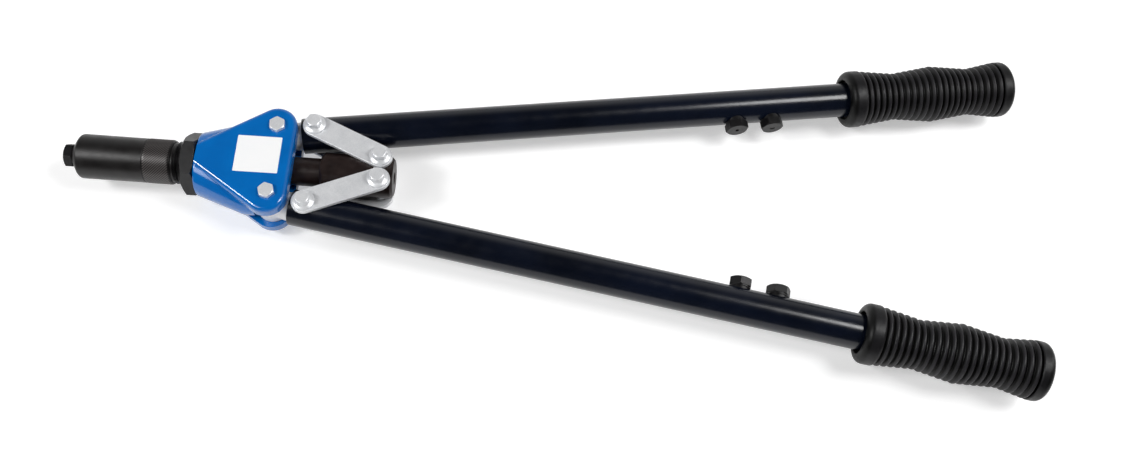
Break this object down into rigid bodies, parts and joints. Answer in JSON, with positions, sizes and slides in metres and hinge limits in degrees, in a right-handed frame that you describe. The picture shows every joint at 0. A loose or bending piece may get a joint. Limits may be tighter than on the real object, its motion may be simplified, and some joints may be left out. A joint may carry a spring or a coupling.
{
  "type": "long arm hand riveter",
  "caption": "Blind rivet hand tool: long tubular arms with ribbed grips pull a draw bar through a forked body; spare nosepieces are screwed into the arms.",
  "frame": {"origin": "centre of the fitted nosepiece's mandrel hole at its tip, on the tool's axis", "axes": "+X from the nose towards the handles, +Y towards the upper arm, +Z square to the plane in which the arms swing, on the side of the bolt heads"},
  "size_m": [0.5977, 0.231, 0.0434],
  "materials": {
    "blue_paint": "gloss enamel",
    "black_oxide": "black oxide, satin",
    "dark_bar": "dark brown black oxide, satin",
    "zinc": "bright zinc plate",
    "lever_steel": "cast and blasted",
    "plain_steel": "ground steel",
    "tube_paint": "gloss navy black",
    "grip_rubber": "moulded, semi-matt"
  },
  "bodies": {
    "head": {"body_casting": "blue_paint", "lock_nut": "black_oxide", "nose_sleeve": "black_oxide", "nosepiece_fitted": "black_oxide", "pivot_bolts": "zinc", "pivot_nuts": "zinc"},
    "puller": {"draw_bar": "dark_bar", "jaw_case": "plain_steel", "case_lock_nut": "black_oxide", "pusher_spring": "plain_steel", "rear_link_bolts": "zinc", "rear_link_nuts": "zinc"},
    "upper_arm": {"upper_lever": "lever_steel", "upper_tube": "tube_paint", "upper_grip": "grip_rubber", "upper_nosepiece_seats": "black_oxide", "upper_front_nosepiece": "black_oxide", "upper_rear_nosepiece": "black_oxide", "upper_link_bolt": "zinc", "upper_link_nut": "zinc"},
    "lower_arm": {"lower_lever": "lever_steel", "lower_tube": "tube_paint", "lower_grip": "grip_rubber", "lower_nosepiece_seats": "black_oxide", "lower_front_nosepiece": "black_oxide", "lower_rear_nosepiece": "black_oxide", "lower_link_bolt": "zinc", "lower_link_nut": "zinc"},
    "upper_link": {"upper_link_top": "zinc", "upper_link_bottom": "zinc"},
    "lower_link": {"lower_link_top": "zinc", "lower_link_bottom": "zinc"},
    "pusher": {"jaw_pusher": "plain_steel"},
    "jaw_upper": {"jaw_upper": "plain_steel"},
    "jaw_left": {"jaw_left": "plain_steel"},
    "jaw_right": {"jaw_right": "plain_steel"}
  },
  "joints": [
    {"name": "upper_arm_swing", "type": "hinge", "parent": "head", "child": "upper_arm", "pos_m": [0.1256, 0.02205, 0], "axis": [0, 0, 1], "range_deg": [-5, 30]},
    {"name": "lower_arm_swing", "type": "hinge", "parent": "head", "child": "lower_arm", "pos_m": [0.1256, -0.02205, 0], "axis": [0, 0, 1], "range_deg": [-30, 5]},
    {"name": "draw_slide", "type": "slide", "parent": "head", "child": "puller", "axis": [1, 0, 0], "range_m": [-0.0102, 0.0017]},
    {"name": "upper_link_swing", "type": "hinge", "parent": "puller", "child": "upper_link", "pos_m": [0.18897, 0.0075, 0], "axis": [0, 0, 1], "range_deg": [-15.3, 2.55]},
    {"name": "lower_link_swing", "type": "hinge", "parent": "puller", "child": "lower_link", "pos_m": [0.18897, -0.0075, 0], "axis": [0, 0, 1], "range_deg": [-2.55, 15.3]},
    {"name": "pusher_slide", "type": "slide", "parent": "puller", "child": "pusher", "axis": [1, 0, 0], "range_m": [0, 0.0025], "stiffness_N_per_m": 400, "springref_m": -0.004, "deforming": ["pusher_spring"]},
    {"name": "jaw_upper_slide", "type": "slide", "parent": "puller", "child": "jaw_upper", "axis": [0.9848, 0, 0.1736], "range_m": [0, 0.00254]},
    {"name": "jaw_left_slide", "type": "slide", "parent": "puller", "child": "jaw_left", "axis": [0.9848, -0.1504, -0.0868], "range_m": [0, 0.00254]},
    {"name": "jaw_right_slide", "type": "slide", "parent": "puller", "child": "jaw_right", "axis": [0.9848, 0.1504, -0.0868], "range_m": [0, 0.00254]}
  ],
  "couplings": [
    {"joint": "lower_arm_swing", "follows": "upper_arm_swing", "ratio": -1},
    {"joint": "draw_slide", "follows": "upper_arm_swing", "m_per_rad": -0.019481},
    {"joint": "upper_link_swing", "follows": "upper_arm_swing", "ratio": -0.51},
    {"joint": "lower_link_swing", "follows": "upper_arm_swing", "ratio": 0.51},
    {"joint": "jaw_upper_slide", "follows": "pusher_slide", "ratio": 1.0154},
    {"joint": "jaw_left_slide", "follows": "pusher_slide", "ratio": 1.0154},
    {"joint": "jaw_right_slide", "follows": "pusher_slide", "ratio": 1.0154}
  ]
}
